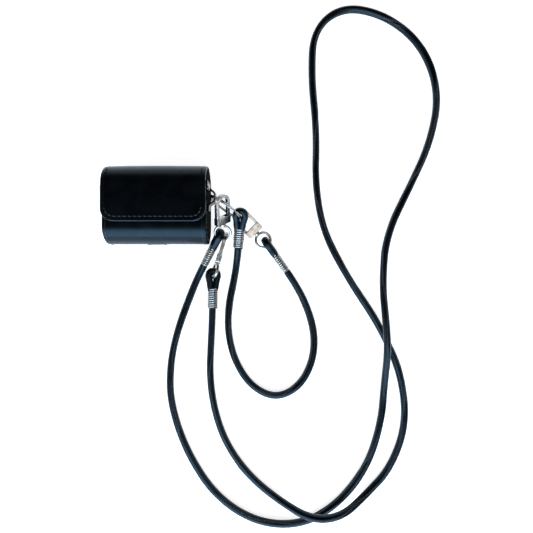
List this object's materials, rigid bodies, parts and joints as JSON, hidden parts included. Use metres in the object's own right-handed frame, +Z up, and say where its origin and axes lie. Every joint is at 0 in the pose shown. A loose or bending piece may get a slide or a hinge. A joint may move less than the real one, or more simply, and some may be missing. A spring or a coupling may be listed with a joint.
{
  "type": "leather earbud case cover with lanyard and wrist strap",
  "caption": "Black leather flap cover for an earbud charging case, with a split ring, swivel clasps, a round leather neck lanyard and a wrist strap.",
  "frame": {"origin": "centre of the cover's flat back face, which lies on the table", "axes": "+X towards the split ring, +Y towards the folded top edge with the flap's hinge, +Z up, out of the flap's front"},
  "size_m": [0.2143, 0.3437, 0.0286],
  "materials": {
    "cover_leather": "smooth, semi-gloss, painted edges",
    "suede_lining": "short nap, matt",
    "stitch_thread": "waxed thread",
    "magnet": "plated",
    "plated_hardware": "polished nickel plate",
    "spring_steel": "bright",
    "coil_wire": "bright drawn wire",
    "cord_leather": "glossy, stitched seam"
  },
  "bodies": {
    "cover": {"body_wrap": "cover_leather", "gusset_left": "cover_leather", "gusset_right": "cover_leather", "pocket_lining": "suede_lining", "pocket_magnet": "magnet", "seam_stitching_left": "stitch_thread", "seam_stitching_right": "stitch_thread", "side_keeper": "cover_leather", "keeper_rivet": "plated_hardware", "clasp_1_eye": "plated_hardware", "clasp_2_eye": "plated_hardware", "clasp_3_eye": "plated_hardware", "lanyard_end_a_loop": "cord_leather", "lanyard_end_a_crimp": "coil_wire", "lanyard_end_b_loop": "cord_leather", "lanyard_end_b_crimp": "coil_wire", "wrist_end_c_loop": "cord_leather", "wrist_end_c_crimp": "coil_wire", "wrist_end_d_loop": "cord_leather", "wrist_end_d_crimp": "coil_wire", "lanyard_cord": "cord_leather", "wrist_cord": "cord_leather"},
    "flap": {"flap": "cover_leather", "flap_lining": "suede_lining", "flap_magnet": "magnet", "flap_stitching": "stitch_thread"},
    "ring": {"split_ring": "plated_hardware"},
    "hook_1": {"clasp_1_hook": "plated_hardware", "clasp_1_gate_pin": "plated_hardware", "clasp_1_gate_spring": "spring_steel"},
    "gate_1": {"clasp_1_gate": "plated_hardware"},
    "hook_2": {"clasp_2_hook": "plated_hardware", "clasp_2_gate_pin": "plated_hardware", "clasp_2_gate_spring": "spring_steel"},
    "gate_2": {"clasp_2_gate": "plated_hardware"},
    "hook_3": {"clasp_3_hook": "plated_hardware", "clasp_3_gate_pin": "plated_hardware", "clasp_3_gate_spring": "spring_steel"},
    "gate_3": {"clasp_3_gate": "plated_hardware"}
  },
  "joints": [
    {"name": "flap_hinge", "type": "hinge", "parent": "cover", "child": "flap", "pos_m": [0, 0.0245, 0.013], "axis": [-1, 0, 0], "range_deg": [0, 150]},
    {"name": "ring_spin", "type": "hinge", "parent": "cover", "child": "ring", "pos_m": [0.0425, -0.0013, 0.0126], "axis": [-0.5719, -0.8136, 0.1045], "continuous": true},
    {"name": "clasp_1_swivel", "type": "hinge", "parent": "cover", "child": "hook_1", "pos_m": [0.04081, -0.01166, 0.01539], "axis": [0.05, 0.8302, 0.5552], "range_deg": [-20, 50]},
    {"name": "clasp_1_gate", "type": "hinge", "parent": "hook_1", "child": "gate_1", "pos_m": [0.04344, -0.00795, 0.01428], "axis": [0.766, -0.3886, 0.5121], "range_deg": [0, 25], "stiffness_Nm_per_rad": 0.01, "springref_deg": -11.46},
    {"name": "clasp_2_swivel", "type": "hinge", "parent": "cover", "child": "hook_2", "pos_m": [0.0617, -0.01673, 0.00617], "axis": [-0.6933, 0.7037, 0.1552], "range_deg": [-14, 0]},
    {"name": "clasp_2_gate", "type": "hinge", "parent": "hook_2", "child": "gate_2", "pos_m": [0.06267, -0.01216, 0.00657], "axis": [0.1089, -0.1106, 0.9879], "range_deg": [0, 25], "stiffness_Nm_per_rad": 0.01, "springref_deg": -11.46},
    {"name": "clasp_3_swivel", "type": "hinge", "parent": "cover", "child": "hook_3", "pos_m": [0.03694, -0.03484, 0.00725], "axis": [0.3043, 0.9434, 0.1319], "range_deg": [0, 10]},
    {"name": "clasp_3_gate", "type": "hinge", "parent": "hook_3", "child": "gate_3", "pos_m": [0.03743, -0.03176, 0.00375], "axis": [0.9495, -0.2894, -0.1208], "range_deg": [0, 25], "stiffness_Nm_per_rad": 0.01, "springref_deg": -11.46}
  ]
}
